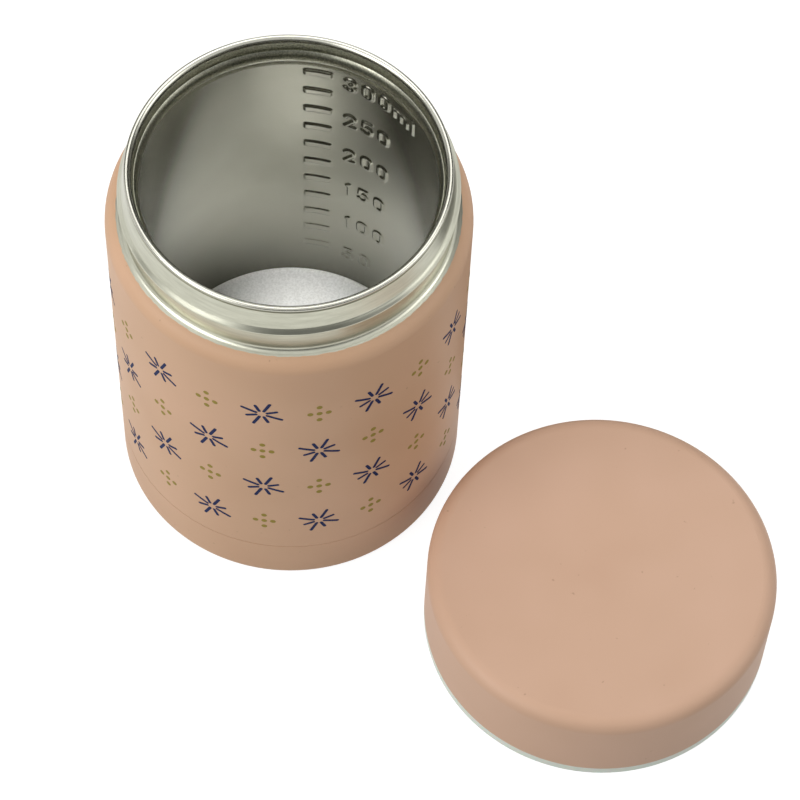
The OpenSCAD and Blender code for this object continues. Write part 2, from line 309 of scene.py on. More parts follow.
def steel(name, base, worn, roughness, mark_mm, mark_height_mm, look, metallic=1.0, painted_shade=None):
    """Bare steel, tinted by its look: brushed round the axis, cloudy or grainy. With a colour for
    painted shade, it darkens to that colour towards the bottom, where the cavity lies in shade."""
    material, tree, out = new_material(name)
    place = add(tree, "ShaderNodeTexCoord").outputs["Object"]
    along = around_axis(tree, place, MARK_SHARE) if look == "brushed" else place
    marks = add(tree, "ShaderNodeTexNoise", values={"Scale": 1 / (mark_mm * MM), "Detail": 3.0},
                links={"Vector": along})
    patches = marks
    if look == "brushed":
        patches = add(tree, "ShaderNodeTexNoise",
                      values={"Scale": 1 / (WEAR_MM * MM), "Detail": 5.0, "Roughness": 0.7},
                      links={"Vector": around_axis(tree, place, WEAR_SHARE)})
    elif look == "cloudy":
        patches = add(tree, "ShaderNodeTexNoise", values={"Scale": 1 / (CLOUD_MM * MM), "Detail": 3.0},
                      links={"Vector": place})
    wear = add(tree, "ShaderNodeMapRange", values={"From Min": 0.35, "From Max": 0.65},
               links={"Value": patches.outputs["Fac"]})
    tint = add(tree, "ShaderNodeMix", {"data_type": "RGBA"}, {"A": colour(base), "B": colour(worn)},
               {"Factor": wear.outputs[0]})
    # painted shade: towards the bottom the tint darkens to the painted shade colour
    if painted_shade:
        height = add(tree, "ShaderNodeSeparateXYZ", links={"Vector": place})
        low = add(tree, "ShaderNodeMapRange",
                  values={"From Min": PAINTED_SHADE_FROM_MM * MM, "From Max": PAINTED_SHADE_FULL_MM * MM},
                  links={"Value": height.outputs["Z"]})
        tint = add(tree, "ShaderNodeMix", {"data_type": "RGBA"}, {"B": colour(painted_shade)},
                   {"Factor": low.outputs[0], "A": tint.outputs["Result"]})
    rough = add(tree, "ShaderNodeMapRange",
                values={"To Min": roughness * (1 - UNEVEN), "To Max": roughness * (1 + UNEVEN)},
                links={"Value": marks.outputs["Fac"]})
    bump = add(tree, "ShaderNodeBump", values={"Strength": 0.6, "Distance": mark_height_mm * MM},
               links={"Height": marks.outputs["Fac"]})
    shader = add(tree, "ShaderNodeBsdfPrincipled", values={"Metallic": metallic},
                 links={"Base Color": tint.outputs["Result"], "Roughness": rough.outputs[0],
                        "Normal": bump.outputs["Normal"]})
    tree.links.new(shader.outputs["BSDF"], out.inputs["Surface"])
    return material


turned_steel = steel("stainless_steel_turned", "#c3c3b3", "#b0b0a0", 0.32, TURNING_MM, 0.008, "brushed")
polished_steel = steel("stainless_steel_polished", "#bab9ae", "#aeada2", 0.25, TURNING_MM, 0.002, "brushed")
ledge_steel = steel("stainless_steel_pressed", "#c4c4b4", "#9a9a8c", 0.3, 0.4, 0.04, "grainy")
# the blasted cavity gets painted shade: it darkens towards its floor
blasted_steel = steel("stainless_steel_blasted", "#a5a499", "#a1a095", 0.23, BLAST_MM, 0.014, "cloudy",
                      painted_shade="#605f56")
floor_steel = steel("stainless_steel_floor", "#f8f8f5", "#e6e6e2", 0.6, 0.5, 0.018, "grainy",
                    metallic=0.15)
sheet_steel = steel("stainless_steel_sheet", "#c6c6c0", "#b9b9b2", 0.34, 0.6, 0.004, "cloudy")
dress(nodes["vacuum_base"], sheet_steel)
print("steels:", turned_steel.name, polished_steel.name, blasted_steel.name)

# %% [markdown]
# ### Plastics, foam, foil and glass
#
# The lid's liner and the plate under it are injection-moulded polypropylene: waxy, slightly see-through
# and never quite glossy, so a little subsurface light softens them. The seal is silicone, which is duller
# and softer. The other pieces are hidden inside, but they still need the finish of what they are made of.

# %% Plastics and the hidden pieces
FLOW_MM = 1000 / 60                   # about 17


def moulded(name, base, flow, roughness, grain_mm, grain_height_mm, subsurface, soften_mm):
    """Plastic, rubber or foam: a base colour with faint flow marks, grain bump and soft inner light."""
    material, tree, out = new_material(name)
    place = add(tree, "ShaderNodeTexCoord").outputs["Object"]
    flow_marks = add(tree, "ShaderNodeTexNoise",
                     values={"Scale": 1 / (FLOW_MM * MM), "Detail": 2.0, "Distortion": 0.6},
                     links={"Vector": place})
    tint = add(tree, "ShaderNodeMix", {"data_type": "RGBA"}, {"A": colour(base), "B": colour(flow)},
               {"Factor": flow_marks.outputs["Fac"]})
    grain = add(tree, "ShaderNodeTexNoise", values={"Scale": 1 / (grain_mm * MM), "Detail": 2.0},
                links={"Vector": place})
    bump = add(tree, "ShaderNodeBump", values={"Strength": 0.5, "Distance": grain_height_mm * MM},
               links={"Height": grain.outputs["Fac"]})
    shader = add(tree, "ShaderNodeBsdfPrincipled",
                 values={"Roughness": roughness, "IOR": 1.49, "Subsurface Weight": subsurface,
                         "Subsurface Scale": soften_mm * MM},
                 links={"Base Color": tint.outputs["Result"], "Normal": bump.outputs["Normal"]})
    tree.links.new(shader.outputs["BSDF"], out.inputs["Surface"])
    return material


liner_plastic = moulded("polypropylene_liner", "#e0e5da", "#d5dccf", 0.36, 0.5, 0.01, 0.25, 1.5)
plate_plastic = moulded("polypropylene_plate", "#e6e8e1", "#dde0d8", 0.34, 0.5, 0.01, 0.25, 1.5)
silicone = moulded("silicone_rubber", "#f1f0ea", "#e6e5dd", 0.55, 0.25, 0.006, 0.3, 2.0)
foam = moulded("polyethylene_foam", "#eceae2", "#dcd9ce", 0.85, 0.9, 0.12, 0.1, 1.0)
solder_glass = moulded("solder_glass", "#4d5c54", "#3d4a44", 0.18, 0.8, 0.01, 0.0, 1.0)
getter_metal = moulded("sintered_getter", "#6f6b66", "#575450", 0.72, 0.2, 0.03, 0.0, 1.0)
copper_foil = steel("copper_foil", "#c58463", "#b06d4b", 0.3, 3.0, 0.05, "grainy")
for name, material in (("lid_liner", liner_plastic), ("seal_plate", plate_plastic),
                       ("seal_ring", silicone), ("lid_insulation", foam),
                       ("sealing_bead", solder_glass), ("getter", getter_metal),
                       ("heat_shield", copper_foil)):
    dress(nodes[name], material)
print("plastics and hidden pieces dressed")

# %% [markdown]
# ## The neck and its thread
#
# The neck is a thin steel tube with a thread rolled into it: two rollers push the sheet outwards along a
# helix, so the ridge is rounded, low and the same thickness as the rest. A Screw modifier could sweep a
# ridge, but it would sit on the neck instead of growing out of it. Here the ridge is a bulge in the
# tube's radius, and it fades out at both ends as a rolled thread does.

# %% The rolled thread
THREAD_PITCH = 2.4
THREAD_TURNS = 0.96
THREAD_FRONT_Z = 107.2                # height of the crest at the front
CREST_HALF, FLANK = 0.2, 1.15         # half the crest's flat, and how far each flank runs down
THREAD_FADE = radians(22)


def eased(part, ease=0.1):
    """A ramp from 0 to 1 that is straight in its middle and rounded at both ends."""
    return 0.5 + 0.5 * (np.sqrt(part * part + ease * ease) - np.sqrt((1 - part) ** 2 + ease * ease))


def rolled_ridge(turn, height, centre_z):
    """Height of a helical ridge with two flanks and a narrow crest, faded at both ends of its run."""
    ridge = np.zeros_like(turn)
    for lap in (-1, 0, 1):
        along = turn + lap * 2 * pi
        across = abs(height - centre_z - THREAD_PITCH * along / (2 * pi))
        ends = smooth(np.clip((THREAD_TURNS * pi - abs(along)) / THREAD_FADE, 0, 1))
        ridge = np.maximum(ridge, THREAD_HEIGHT * ends * eased((CREST_HALF + FLANK - across) / FLANK))
    return ridge


def neck_thread(turn, height, radius):
    """The ridge, on the neck alone."""
    wall = (radius > NECK_R - SAME_R) & (radius < ROOT_R + SAME_R) & (height > root_z)
    return wall * rolled_ridge(turn, height, THREAD_FRONT_Z)


print(f"thread: {THREAD_TURNS} turns at a pitch of {THREAD_PITCH} mm")

# %% Profile of the neck collar
THREAD_ROW = 0.12                     # height from one row of points to the next
arc_r, arc_z = BODY_R - SHOULDER_ROUND, SHOULDER_Z - SHOULDER_ROUND
fillet_r = ROOT_R + NECK_FILLET
root_z = arc_z + ((SHOULDER_ROUND + NECK_FILLET) ** 2 - (fillet_r - arc_r) ** 2) ** 0.5
taper_z = COLLAR_TOP_Z - TAPER_H
touch = np.degrees(np.arctan2(root_z - arc_z, fillet_r - arc_r))    # where fillet and shoulder meet
outer_edge = np.degrees(np.arccos((COLLAR_R - arc_r) / SHOULDER_ROUND))
inner_edge = np.degrees(np.arccos((COLLAR_R - arc_r) / (SHOULDER_ROUND - SHEET)))
neck_rows = np.arange(root_z, taper_z, THREAD_ROW)
taper_rows = np.arange(taper_z, COLLAR_TOP_Z, THREAD_ROW)


def neck_radius(z):
    """Radius of the neck without its thread."""
    return ROOT_R - (ROOT_R - NECK_R) * max(0.0, z - taper_z) / TAPER_H


collar_profile = arc(arc_r, arc_z, SHOULDER_ROUND, outer_edge, touch, 16)
collar_profile += arc(fillet_r, root_z, NECK_FILLET, 180 + touch, 180, 14)[1:]
collar_profile += [(neck_radius(z), z) for z in list(neck_rows[1:]) + list(taper_rows) + [COLLAR_TOP_Z]]
collar_profile += [(neck_radius(z) - SHEET, z)
                   for z in [COLLAR_TOP_Z] + list(taper_rows[::-4]) + list(neck_rows[::-4])]
collar_profile += [(ROOT_R - SHEET, SHOULDER_Z - SHEET)]
collar_profile += arc(arc_r, arc_z, SHOULDER_ROUND - SHEET, 90, inner_edge, 8)
print(f"collar profile: {len(collar_profile)} points")

# %% The neck collar, and the coat's edge on it
COLLAR_COLUMNS = 540
COAT_ROWS, MOST_COAT_ROWS = 1.6, 4    # rows of faces that the coat runs over: about this many, and at most
SEED = 4
even_turn = np.linspace(-pi, pi, COLLAR_COLUMNS, endpoint=False)
collar = turned("neck_collar_threaded", collar_profile, even_turn, neck_thread, loop=True)
dress(collar, turned_steel, jar_coat)
ragged = np.convolve(np.random.default_rng(SEED).normal(size=COLLAR_COLUMNS), (0.4, 0.8, 0.4), "same")
coated = np.clip(np.round(COAT_ROWS + COAT_ROWS * ragged), 0, MOST_COAT_ROWS).astype(int)
for column, rows in enumerate(coated):
    for row in range(rows):       # the coat's edge on the bare steel is never quite even
        collar.data.polygons[row * COLLAR_COLUMNS + column].material_index = 1
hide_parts("neck_collar")
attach(collar, "jar")
print(f"collar: {len(collar.data.polygons)} faces, crest radius {ROOT_R + THREAD_HEIGHT:.1f} mm")

# %% [markdown]
# ## The volume scale
#
# A scale is pressed into the cavity's wall: one bar every 25 ml and a number beside every second one.
# The punch comes from outside, so bars and figures stand proud of the wall on the inside. A text object
# would need bending round the wall and joining to it. Instead each figure is a few strokes of a pen, and
# the wall's radius shrinks where it is nearer to a stroke than half its width. The slopes are real, so
# they catch other light than the wall does, as pressed steel does. The relief is drawn a little lower
# towards the floor, so that the lowest marks come out as faint as they look on a real one.

# %% Pen strokes of the figures
FIGURE_TALL, FIGURE_WIDE = 4.3, 2.2   # along the middle of the pen's stroke
FIGURE_STEP = 4.52                    # from one figure to the next
PEN_HALF = 0.78                       # half the width of a stroke, slopes included
PEN_SLOPE = 0.68


def bow(x, y, rx, ry, start, end, count=9):
    """Points of a pen stroke along an ellipse, in parts of a figure's width and height."""
    return [(x + rx * cos(radians(a)), y + ry * sin(radians(a))) for a in np.linspace(start, end, count)]


FIGURES = {
    "0": [bow(0.5, 0.74, 0.5, 0.26, 0, 180) + bow(0.5, 0.26, 0.5, 0.26, 180, 360) + [(1, 0.74)]],
    "1": [[(0.28, 0.86), (0.55, 1.0), (0.55, 0.0)]],
    "2": [bow(0.5, 0.74, 0.5, 0.26, 170, -30) + [(0.0, 0.0), (1.0, 0.0)]],
    "3": [bow(0.46, 0.76, 0.46, 0.24, 165, -80), bow(0.44, 0.27, 0.52, 0.27, 80, -165)],
    "5": [[(0.92, 1.0), (0.12, 1.0), (0.06, 0.55)] + bow(0.45, 0.31, 0.55, 0.31, 125, -155)],
    "m": [[(0.0, 0.62), (0.0, 0.0)], bow(0.48, 0.42, 0.48, 0.2, 180, 0) + [(0.96, 0.0)],
          bow(1.44, 0.42, 0.48, 0.2, 180, 0) + [(1.92, 0.0)]],
    "l": [[(0.0, 1.0), (0.0, 0.0)]],
}
ADVANCE = {"1": 3.87, "m": 6.35}      # the others take FIGURE_STEP
TUCKED = {"m": -0.55}                 # the m stands a little closer to the figure before it
print("figures:", " ".join(FIGURES))

# %% The scale, laid out on the wall
LOWEST_MARK_Z, MARK_STEP, MARK_COUNT = 34.25, 7.13, 11    # upper edge of the 50 ml bar
TOP_MARK_Z = LOWEST_MARK_Z + (MARK_COUNT - 1) * MARK_STEP
BAR_FROM, BAR_TO = radians(178.2), radians(165.9)         # round the wall from the front
BAR_TALL, BAR_CORNER, BAR_SLOPE = 2.95, 0.8, 0.85
FIGURES_FROM = radians(160.7)
RAISED = 0.4
RAISED_LOW = 0.66                     # share of that height which is left at the lowest mark
VOLUMES = {0: "50", 2: "100", 4: "150", 6: "200", 8: "250", 10: "300ml"}


def scale_strokes():
    """The pen strokes of all figures, in millimetres along the wall and up it."""
    strokes = []
    for step, figures in VOLUMES.items():
        level = LOWEST_MARK_Z + step * MARK_STEP - PEN_HALF
        at = FIGURES_FROM * CAVITY_R
        for figure in figures:
            at -= TUCKED.get(figure, 0)
            for pen in FIGURES[figure]:
                strokes.append([(at - x * FIGURE_WIDE, level - (1 - y) * FIGURE_TALL) for x, y in pen])
            at -= ADVANCE.get(figure, FIGURE_STEP)
    return strokes


SCALE = scale_strokes()
print(f"scale: {MARK_COUNT} bars, {len(SCALE)} strokes, up to {TOP_MARK_Z:.1f} mm")

# %% The relief of the scale
MARGIN = 1.0                          # the wall is looked at this far round a mark
FAR, TINY = 99.0, 1e-9                # a distance beyond any stroke, and a guard against dividing by nothing


def smooth_rise(inside, slope):
    """Height of a mark this far inside its edge; its flank is as wide as the slope."""
    return smooth(np.clip(inside / slope, 0, 1), RAISED)


def share_left(height):
    """Share of the relief that is left at a height on the wall."""
    climb = np.clip((height - LOWEST_MARK_Z) / (MARK_COUNT * MARK_STEP), 0, 1)
    return RAISED_LOW + (1 - RAISED_LOW) * climb


def pressed_scale(turn, height, radius):
    """How far the wall stands in towards the axis at the bars and figures."""
    raised = np.zeros_like(turn)
    wall = abs(radius - CAVITY_R) < SAME_R
    along = np.where(turn < 0, turn + 2 * pi, turn) * CAVITY_R
    middle, half = (BAR_FROM + BAR_TO) / 2 * CAVITY_R, (BAR_FROM - BAR_TO) / 2 * CAVITY_R
    for step in range(MARK_COUNT):
        level = LOWEST_MARK_Z + step * MARK_STEP - BAR_TALL / 2
        near = wall & (abs(along - middle) < half + MARGIN) & (abs(height - level) < BAR_TALL)
        over_x = abs(along[near] - middle) - half + BAR_CORNER
        over_y = abs(height[near] - level) - BAR_TALL / 2 + BAR_CORNER
        outside = (np.hypot(np.maximum(over_x, 0), np.maximum(over_y, 0))
                   + np.minimum(np.maximum(over_x, over_y), 0) - BAR_CORNER)
        raised[near] = np.maximum(raised[near], smooth_rise(-outside, BAR_SLOPE))
    for points in SCALE:
        xs, ys = [p[0] for p in points], [p[1] for p in points]
        near = (wall & (along > min(xs) - MARGIN) & (along < max(xs) + MARGIN)
                & (height > min(ys) - MARGIN) & (height < max(ys) + MARGIN))
        px, py = along[near], height[near]
        nearest = np.full(px.shape, FAR)
        for (ax, ay), (bx, by) in zip(points, points[1:]):
            dx, dy = bx - ax, by - ay
            part = np.clip(((px - ax) * dx + (py - ay) * dy) / max(dx * dx + dy * dy, TINY), 0, 1)
            nearest = np.minimum(nearest, np.hypot(px - ax - part * dx, py - ay - part * dy))
        raised[near] = np.maximum(raised[near], smooth_rise(PEN_HALF - nearest, PEN_SLOPE))
    return -raised * share_left(height)


heights = [round(float(RAISED * share_left(z)), 2) for z in (TOP_MARK_Z, LOWEST_MARK_Z)]
print("relief at the top and at the lowest mark, in mm:", heights)

# %% [markdown]
# ## The inner vessel
#
# The cavity is one deep-drawn sheet. Its rim is rolled into a round lip, and below the lip a narrow ledge
# is pressed inwards for the lid's seal to sit on. The grid is fine only where the scale is pressed, and
# coarse elsewhere. The lip is polished, the ledge is left as it was pressed and everything below it is
# blasted, the floor more coarsely than the wall.

# %% Profile of the inner vessel
# From the lip down to the ledge: how far inwards of the mouth's radius, and the height
UNDER_LIP = ((0.06, 112.8), (0.13, 112.2), (0.21, 111.75), (0.29, 111.46), (0.33, 111.24), (0.41, 111.22))
# A shallow hollow at the top of the wall: how far outwards of the wall's radius, and the height
UNDER_LEDGE = ((0.1, 107.95), (0.1, 107.6), (0.0, 107.2))
LIP_STEP = 0.11                       # radians from the lip's top to the first point inside it
FLOOR_RINGS = (26, 20, 13, 6, 0)      # radii
FINE = 0.18                           # distance between the points where the scale is pressed
FINE_ABOVE, FINE_BELOW = 0.8, 7.0     # how far that goes on above the top mark and below the lowest

outer_r = CAVITY_R + SHEET
bottom_z = FLOOR_Z - SHEET
corner_r, corner_z = outer_r - FLOOR_ROUND - SHEET, FLOOR_Z + FLOOR_ROUND
crown_z = LEDGE_Z - CROWN_H
crown_r = (CROWN_W ** 2 + CROWN_H ** 2) / (2 * CROWN_W)
crease = 180 - np.degrees(np.arcsin(CROWN_H / crown_r))
edge_end = 180 + np.degrees(np.arccos((LEDGE_R + LEDGE_ROUND - CAVITY_R) / LEDGE_ROUND))

vessel_profile = [(0, bottom_z), (corner_r, bottom_z)]
vessel_profile += arc(corner_r, corner_z, FLOOR_ROUND + SHEET, -90, 0, 8)[1:]
vessel_profile += [(outer_r, z) for z in np.linspace(corner_z, crown_z, 8)[1:]]
vessel_profile += [(MOUTH_R + SHEET, LEDGE_Z - SHEET), (MOUTH_R + SHEET, COLLAR_TOP_Z)]
vessel_profile += arc(NECK_R - LIP_EDGE, LIP_Z - LIP_EDGE, LIP_EDGE, -30, 90, 14)   # the lip: tight outside
lip_fall = NECK_R - LIP_EDGE - MOUTH_R
vessel_profile += [(MOUTH_R + lip_fall * (1 - sin(t)), LIP_Z - LIP_DROP * (1 - cos(t)))
                   for t in np.linspace(LIP_STEP, pi / 2, 13)]                      # and flatter inside
vessel_profile += [(MOUTH_R - inwards, z) for inwards, z in UNDER_LIP]
vessel_profile += arc(LEDGE_R + crown_r, crown_z, crown_r, crease, 180, 12)
vessel_profile += arc(LEDGE_R + LEDGE_ROUND, crown_z, LEDGE_ROUND, 180, edge_end, 8)[1:]
vessel_profile += [(CAVITY_R + outwards, z) for outwards, z in UNDER_LEDGE]
fine_rows = np.arange(TOP_MARK_Z + FINE_ABOVE, LOWEST_MARK_Z - FINE_BELOW, -FINE)
vessel_profile += [(CAVITY_R, z) for z in fine_rows]
vessel_profile += [(CAVITY_R, z) for z in np.linspace(fine_rows[-1], corner_z, 6)[1:]]
vessel_profile += arc(CAVITY_R - FLOOR_ROUND, corner_z, FLOOR_ROUND, 0, -90, 10)[1:]
vessel_profile += [(r, FLOOR_Z) for r in FLOOR_RINGS]
print(f"vessel profile: {len(vessel_profile)} points")

# %% The inner vessel with its scale
FINE_FROM, FINE_TO = 124, 180         # degrees from the front
SEAM, COARSE_COLUMNS = 1.5, 240       # degrees between fine and coarse columns, and the coarse ones' number
fine_turn = np.arange(radians(FINE_FROM), radians(FINE_TO), FINE / CAVITY_R)
coarse_turn = np.linspace(radians(FINE_TO + SEAM), radians(360 + FINE_FROM - SEAM), COARSE_COLUMNS)
vessel_turn = np.concatenate([fine_turn, coarse_turn]) - 2 * pi
vessel_turn = np.where(vessel_turn < -pi, vessel_turn + 2 * pi, vessel_turn)
vessel = turned("inner_vessel_scaled", vessel_profile, vessel_turn, pressed_scale)
dress(vessel, blasted_steel, polished_steel, ledge_steel, floor_steel)
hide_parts("inner_vessel")
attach(vessel, "jar")
print(f"vessel: {len(vessel.data.polygons)} faces")

# %% The finish of each face of the vessel
BLASTED, POLISHED, PRESSED, FLOOR = range(4)     # the vessel's materials, in the order they were given
POLISHED_H = 1.6 * LIP_ROUND                     # from the lip's top down
FLOOR_RISE = 0.5                                 # how far the floor's finish runs up its rounded edge
centres = np.zeros(len(vessel.data.polygons) * 3)
vessel.data.polygons.foreach_get("center", centres)
centres = centres.reshape(-1, 3) / MM
reach = np.hypot(centres[:, 0], centres[:, 1])
finish = np.full(len(centres), BLASTED)
finish[(centres[:, 2] > crown_z - LEDGE_ROUND) & (reach < MOUTH_R + SAME_R)] = PRESSED
finish[centres[:, 2] > LIP_Z - POLISHED_H] = POLISHED
finish[(centres[:, 2] < FLOOR_Z + FLOOR_RISE) & (reach < CAVITY_R)] = FLOOR
vessel.data.polygons.foreach_set("material_index", finish)
print("faces by finish:", np.bincount(finish).tolist())

# %% [markdown]
# ## The thread inside the lid
#
# The liner's thread is moulded, not rolled, and runs in the space beside the neck's. It is a swept ridge
# on the inside of the skirt: a short helix of cross-sections, joined into one closed solid. Its ends
# sink into the wall.

# %% The liner's thread ridge
LINER_RUN = radians(200)              # to either side of the front
LINER_THREAD_Z, LINER_STEPS = 3.2, 200
END_SHARE = 0.08                      # share of its run over which either end rises from the wall
LOWEST, SLIMMEST = 0.02, 0.25         # shares of its height and its width that are left at the very ends


def liner_ridge(name, from_turn, to_turn, start_z, steps):
    """A closed helical ridge on the inside of the lid's skirt; its section is a rounded trapezium."""
    section = [(0.2, -1.1), (0.0, -1.0), (-0.75, -0.5), (-0.95, -0.2), (-0.95, 0.2), (-0.75, 0.5),
               (0.0, 1.0), (0.2, 1.1)]
    points, faces = [], []
    sides = len(section)
    for step in range(steps + 1):
        part = step / steps
        turn = from_turn + part * (to_turn - from_turn)
        ends = LOWEST + smooth(min(1.0, part / END_SHARE, (1 - part) / END_SHARE), 1 - LOWEST)
        for dr, dz in section:
            r = LINER_BORE_R + (dr if dr > 0 else dr * ends)     # its foot stays sunk in the skirt
            climb = THREAD_PITCH * (turn - from_turn) / (2 * pi)
            z = start_z + climb + dz * (SLIMMEST + (1 - SLIMMEST) * ends)
            points.append((LID_X + r * sin(turn) * MM, LID_Y - r * cos(turn) * MM, z * MM))
        if step:
            base = (step - 1) * sides
            faces += [(base + k, base + (k + 1) % sides, base + sides + (k + 1) % sides, base + sides + k)
                      for k in range(sides)]
    faces += [tuple(range(sides)), tuple(range(steps * sides, (steps + 1) * sides))]
    piece = new_piece(name, points, faces)
    weld(piece, sharp=40)
    return piece


liner_thread = liner_ridge("liner_thread", -LINER_RUN, LINER_RUN, LINER_THREAD_Z, LINER_STEPS)
dress(liner_thread, liner_plastic)
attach(liner_thread, "lid")
print("liner thread faces:", len(liner_thread.data.polygons))

# %% [markdown]
# ## The print
#
# The jar's coat carries a screen print in two inks, a dark blue and an olive. Ink stands a few hundredths
# of a millimetre proud, so each mark is a thin solid that follows the shell's curve. The pattern is a
# plain repeat: small bursts of eight rays in staggered rows, with dots between them.

# %% Helpers for ink on the shell
INK_PROUD, INK_SUNK = 0.03, 0.05


def ink_marks(name, outlines):
    """One object from many flat strips; each strip is two lists of (along, up) points, left and right."""
    points, faces = [], []
    for left, right in outlines:
        start = len(points)
        for lift in (INK_PROUD, -INK_SUNK):
            for line in (left, right):
                for along, up in line:
                    turn = along / BODY_R
                    r = (BODY_R + lift) * MM
                    points.append((r * sin(turn), -r * cos(turn), up * MM))
        n = len(left)
        tl, tr, bl, br = start, start + n, start + 2 * n, start + 3 * n
        for k in range(n - 1):
            faces += [(tl + k, tl + k + 1, tr + k + 1, tr + k), (bl + k, br + k, br + k + 1, bl + k + 1),
                      (tl + k, bl + k, bl + k + 1, tl + k + 1), (tr + k, tr + k + 1, br + k + 1, br + k)]
        faces += [(tl, tr, br, bl), (tl + n - 1, bl + n - 1, br + n - 1, tr + n - 1)]
    piece = new_piece(name, points, faces)
    weld(piece, sharp=30)
    return piece


def ray(x, z, angle, inner, outer, half):
    """A brush stroke from one radius to another, round at both ends."""
    ends = [-0.98, -0.8, -0.4]        # from near the tip, at -1, towards the straight part, at 0
    rounded = [half * (1 - e * e) ** 0.5 for e in ends]
    straight = list(np.linspace(inner + half, outer - half, 5))
    along = [inner + half * (1 + e) for e in ends] + straight
    along += [outer - half * (1 + e) for e in ends[::-1]]
    wide = rounded + [half] * len(straight) + rounded[::-1]
    c, s = cos(angle), sin(angle)
    left = [(x + a * c - w * s, z + a * s + w * c) for a, w in zip(along, wide)]
    right = [(x + a * c + w * s, z + a * s - w * c) for a, w in zip(along, wide)]
    return left, right


def dot(x, z, radius, count=8):
    """A round dot as a strip; its first and last points lie a little in from the bottom and the top."""
    steps = [radius * -cos(pi * (k + 0.15) / (count - 0.7)) for k in range(count)]
    wide = [(radius * radius - a * a) ** 0.5 for a in steps]
    return [(x - w, z + a) for a, w in zip(steps, wide)], [(x + w, z + a) for a, w in zip(steps, wide)]


print("ink helpers ready")

# %% The pattern
AROUND, ROWS = 10, 4
ROW_STEP, LOWEST_ROW = 17.0, 27.0
FIRST, STAGGER = 0.35, 0.5            # where a row begins, and the odd rows' shift, in steps
SPOKES = 8
RAY_FROM, RAY_TO, RAY_TO_LONG = 1.0, 4.0, 5.2     # from the middle of a burst
RAY_HALF = 0.38                       # half a ray's width
DOT_R = 0.68
DOT_PLACES = ((0.5, 0), (0.5, 0.16), (0.5, -0.16), (0.42, 0), (0.58, 0))    # in steps from a burst
along_step = 2 * pi * BODY_R / AROUND
rays, dots = [], []
for row in range(ROWS):
    for column in range(AROUND):
        x = (column + STAGGER * (row % 2) + FIRST) * along_step
        z = LOWEST_ROW + row * ROW_STEP
        for spoke in range(SPOKES):
            angle = spoke * 2 * pi / SPOKES + pi / SPOKES
            rays.append(ray(x, z, angle, RAY_FROM, RAY_TO_LONG if spoke % 2 else RAY_TO, RAY_HALF))
        for dx, dz in DOT_PLACES:
            dots.append(dot(x + dx * along_step, z + dz * ROW_STEP, DOT_R))
print_navy = ink_marks("print_navy", rays)
print_olive = ink_marks("print_olive", dots)
print(f"print: {len(rays)} strokes and {len(dots)} dots")

# %% The finish of the inks
INK_COVER_MM, INK_MESH_MM, INK_HEIGHT_MM = 0.9, 0.2, 0.01


def screen_ink(name, base, thin):
    """Ink pressed through a mesh: slightly uneven in its cover, and flatter than the coat."""
    material, tree, out = new_material(name)
    place = add(tree, "ShaderNodeTexCoord").outputs["Object"]
    cover = add(tree, "ShaderNodeTexNoise", values={"Scale": 1 / (INK_COVER_MM * MM), "Detail": 3.0},
                links={"Vector": place})
    tint = add(tree, "ShaderNodeMix", {"data_type": "RGBA"}, {"A": colour(base), "B": colour(thin)},
               {"Factor": cover.outputs["Fac"]})
    mesh_marks = add(tree, "ShaderNodeTexNoise", values={"Scale": 1 / (INK_MESH_MM * MM)},
                     links={"Vector": place})
    bump = add(tree, "ShaderNodeBump", values={"Strength": 0.3, "Distance": INK_HEIGHT_MM * MM},
               links={"Height": mesh_marks.outputs["Fac"]})
    shader = add(tree, "ShaderNodeBsdfPrincipled",
                 values={"Roughness": 0.6, "IOR": 1.5, "Specular IOR Level": 0.12},
                 links={"Base Color": tint.outputs["Result"], "Normal": bump.outputs["Normal"]})
    tree.links.new(shader.outputs["BSDF"], out.inputs["Surface"])
    return material


for piece, material in ((print_navy, screen_ink("screen_ink_navy", "#0c1b48", "#142350")),
                        (print_olive, screen_ink("screen_ink_olive", "#94833a", "#9c8c46"))):
    dress(piece, material)
    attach(piece, "jar")
    print("ink:", piece.name, material.name)

# %% [markdown]
# ## Floor and world
#
# The floor is white card. To the camera, to reflections and to light that passes through, it glows nearly
# white, and the diffuse card mixed into it keeps the object's shadow. To light that bounces it is plain
# grey card, so that it doesn't wash out the object's shaded side. The world is treated the same way.

# %% Floor and world
FLOOR_HALF = 6                        # metres from its middle to its edge
CORNERS = ((-1, -1), (1, -1), (1, 1), (-1, 1))
WHITE = (1, 1, 1, 1)
FLOOR_GLOW, SKY_LIGHT = 0.9, 0.34


def white_to_the_lens(tree, plain, shown):
    """Mixes a shader for light that bounces with one for what is looked at or reflected."""
    path = add(tree, "ShaderNodeLightPath")
    either = add(tree, "ShaderNodeMath", {"operation": "MAXIMUM"},
                 links={0: path.outputs["Is Camera Ray"], 1: path.outputs["Is Glossy Ray"]})
    seen = add(tree, "ShaderNodeMath", {"operation": "MAXIMUM"},
               links={0: either.outputs[0], 1: path.outputs["Is Transmission Ray"]})
    return add(tree, "ShaderNodeMixShader", links={0: seen.outputs[0], 1: plain, 2: shown}).outputs[0]


material, tree, out = new_material("white_card_floor")
card = add(tree, "ShaderNodeBsdfDiffuse", values={"Color": colour("#a9a9a6")})
faint = add(tree, "ShaderNodeBsdfDiffuse", values={"Color": colour("#8c8c8a")})
glow = add(tree, "ShaderNodeEmission", values={"Color": WHITE, "Strength": FLOOR_GLOW})
lit = add(tree, "ShaderNodeAddShader", links={0: faint.outputs[0], 1: glow.outputs[0]})
tree.links.new(white_to_the_lens(tree, card.outputs[0], lit.outputs[0]), out.inputs["Surface"])
floor = new_piece("floor", [(x * FLOOR_HALF, y * FLOOR_HALF, 0) for x, y in CORNERS], [(0, 1, 2, 3)])
dress(floor, material)

